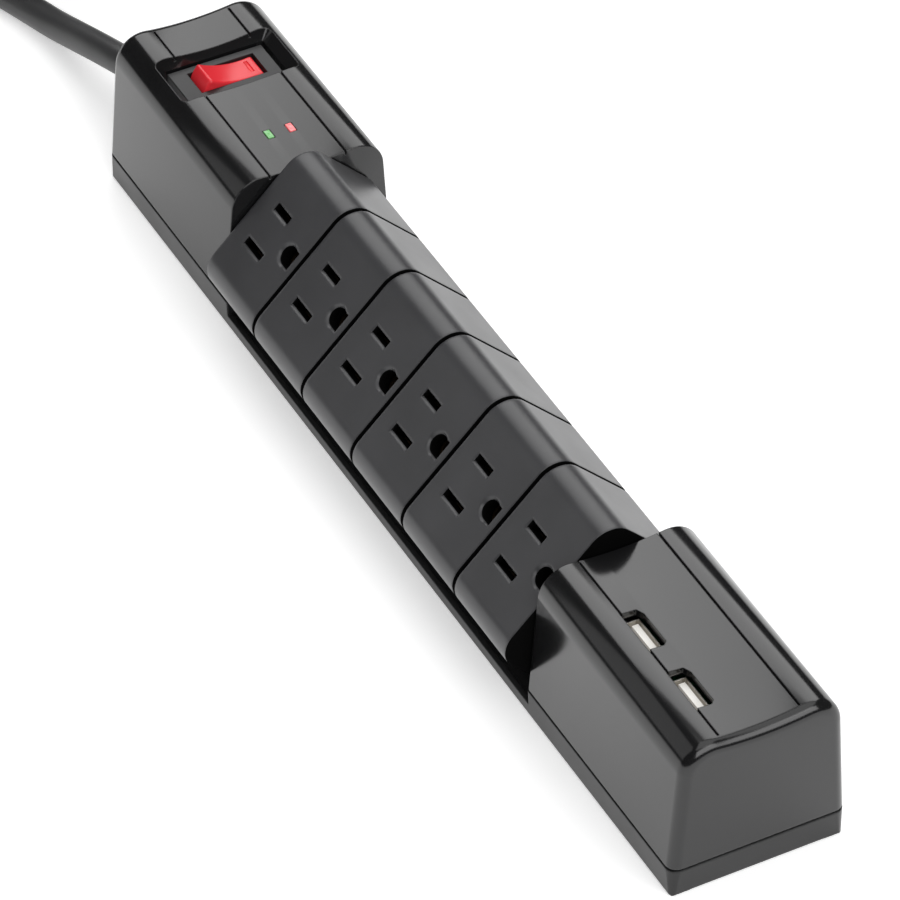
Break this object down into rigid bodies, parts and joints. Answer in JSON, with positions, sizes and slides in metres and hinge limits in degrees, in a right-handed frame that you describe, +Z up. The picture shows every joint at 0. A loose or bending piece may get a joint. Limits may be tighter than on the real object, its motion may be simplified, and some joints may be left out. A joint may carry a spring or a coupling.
{
  "type": "power strip",
  "caption": "Long black power strip with turning outlets, a red rocker switch at the cord end and charging ports at the other, on a mains cord with plug.",
  "frame": {"origin": "middle of the flat underside", "axes": "+X along the strip from the cord end to the charging ports, +Z up from the surface it stands on, -Y the side the outlets face at rest"},
  "size_m": [0.6455, 0.0687, 0.0541],
  "materials": {
    "tray_plastic": "black, fine satin moulding",
    "cover_plastic": "black, satin moulding with a soft sheen",
    "outlet_plastic": "charcoal black, satin moulding",
    "bezel_plastic": "black, lightly grained",
    "dark_plastic": "black",
    "red_rocker": "glossy red, faintly translucent",
    "green_lens": "clear green tint",
    "red_lens": "clear red tint",
    "circuit_board": "green board",
    "varistor_coat": "blue coating",
    "brass": "bright stamped strip",
    "nickel_shell": "nickel-plated sheet",
    "white_plastic": "white moulding",
    "wire_jacket": "plain insulation",
    "screw_steel": "zinc-plated",
    "cord_rubber": "black, soft",
    "cord_jacket": "black, smooth jacket",
    "tie_strap": "black hook-and-loop strap"
  },
  "bodies": {
    "housing": {"base_tray": "tray_plastic", "switch_cover": "cover_plastic", "usb_cover": "cover_plastic", "switch_bezel": "bezel_plastic", "switch_body": "dark_plastic", "switch_terminals": "brass", "protected_lens": "green_lens", "grounded_lens": "red_lens", "indicator_board": "circuit_board", "surge_board": "circuit_board", "varistors": "varistor_coat", "usb_power_board": "circuit_board", "usb_port_board": "circuit_board", "usb_shells": "nickel_shell", "usb_tongues": "white_plastic", "usb_contacts": "brass", "axis_wires": "wire_jacket", "housing_screws": "screw_steel", "strain_relief": "cord_rubber", "cord_run": "cord_jacket", "cord_hank": "cord_jacket", "cord_tail": "cord_jacket", "cord_tie": "tie_strap", "plug_body": "cord_rubber", "plug_blades": "brass"},
    "rocker": {"rocker": "red_rocker"},
    "outlet_1": {"outlet_1_face": "outlet_plastic", "outlet_1_back": "outlet_plastic", "outlet_1_contacts": "brass"},
    "outlet_2": {"outlet_2_face": "outlet_plastic", "outlet_2_back": "outlet_plastic", "outlet_2_contacts": "brass"},
    "outlet_3": {"outlet_3_face": "outlet_plastic", "outlet_3_back": "outlet_plastic", "outlet_3_contacts": "brass"},
    "outlet_4": {"outlet_4_face": "outlet_plastic", "outlet_4_back": "outlet_plastic", "outlet_4_contacts": "brass"},
    "outlet_5": {"outlet_5_face": "outlet_plastic", "outlet_5_back": "outlet_plastic", "outlet_5_contacts": "brass"},
    "outlet_6": {"outlet_6_face": "outlet_plastic", "outlet_6_back": "outlet_plastic", "outlet_6_contacts": "brass"}
  },
  "joints": [
    {"name": "outlet_1_turn", "type": "hinge", "parent": "housing", "child": "outlet_1", "pos_m": [0, 0, 0.0221], "axis": [1, 0, 0], "range_deg": [-90, 0]},
    {"name": "outlet_2_turn", "type": "hinge", "parent": "housing", "child": "outlet_2", "pos_m": [0, 0, 0.0221], "axis": [1, 0, 0], "range_deg": [-90, 0]},
    {"name": "outlet_3_turn", "type": "hinge", "parent": "housing", "child": "outlet_3", "pos_m": [0, 0, 0.0221], "axis": [1, 0, 0], "range_deg": [-90, 0]},
    {"name": "outlet_4_turn", "type": "hinge", "parent": "housing", "child": "outlet_4", "pos_m": [0, 0, 0.0221], "axis": [1, 0, 0], "range_deg": [-90, 0]},
    {"name": "outlet_5_turn", "type": "hinge", "parent": "housing", "child": "outlet_5", "pos_m": [0, 0, 0.0221], "axis": [1, 0, 0], "range_deg": [-90, 0]},
    {"name": "outlet_6_turn", "type": "hinge", "parent": "housing", "child": "outlet_6", "pos_m": [0, 0, 0.0221], "axis": [1, 0, 0], "range_deg": [-90, 0]},
    {"name": "rocker_tilt", "type": "hinge", "parent": "housing", "child": "rocker", "pos_m": [-0.1375, 0, 0.0416], "axis": [1, 0, 0], "range_deg": [0, 22]}
  ]
}
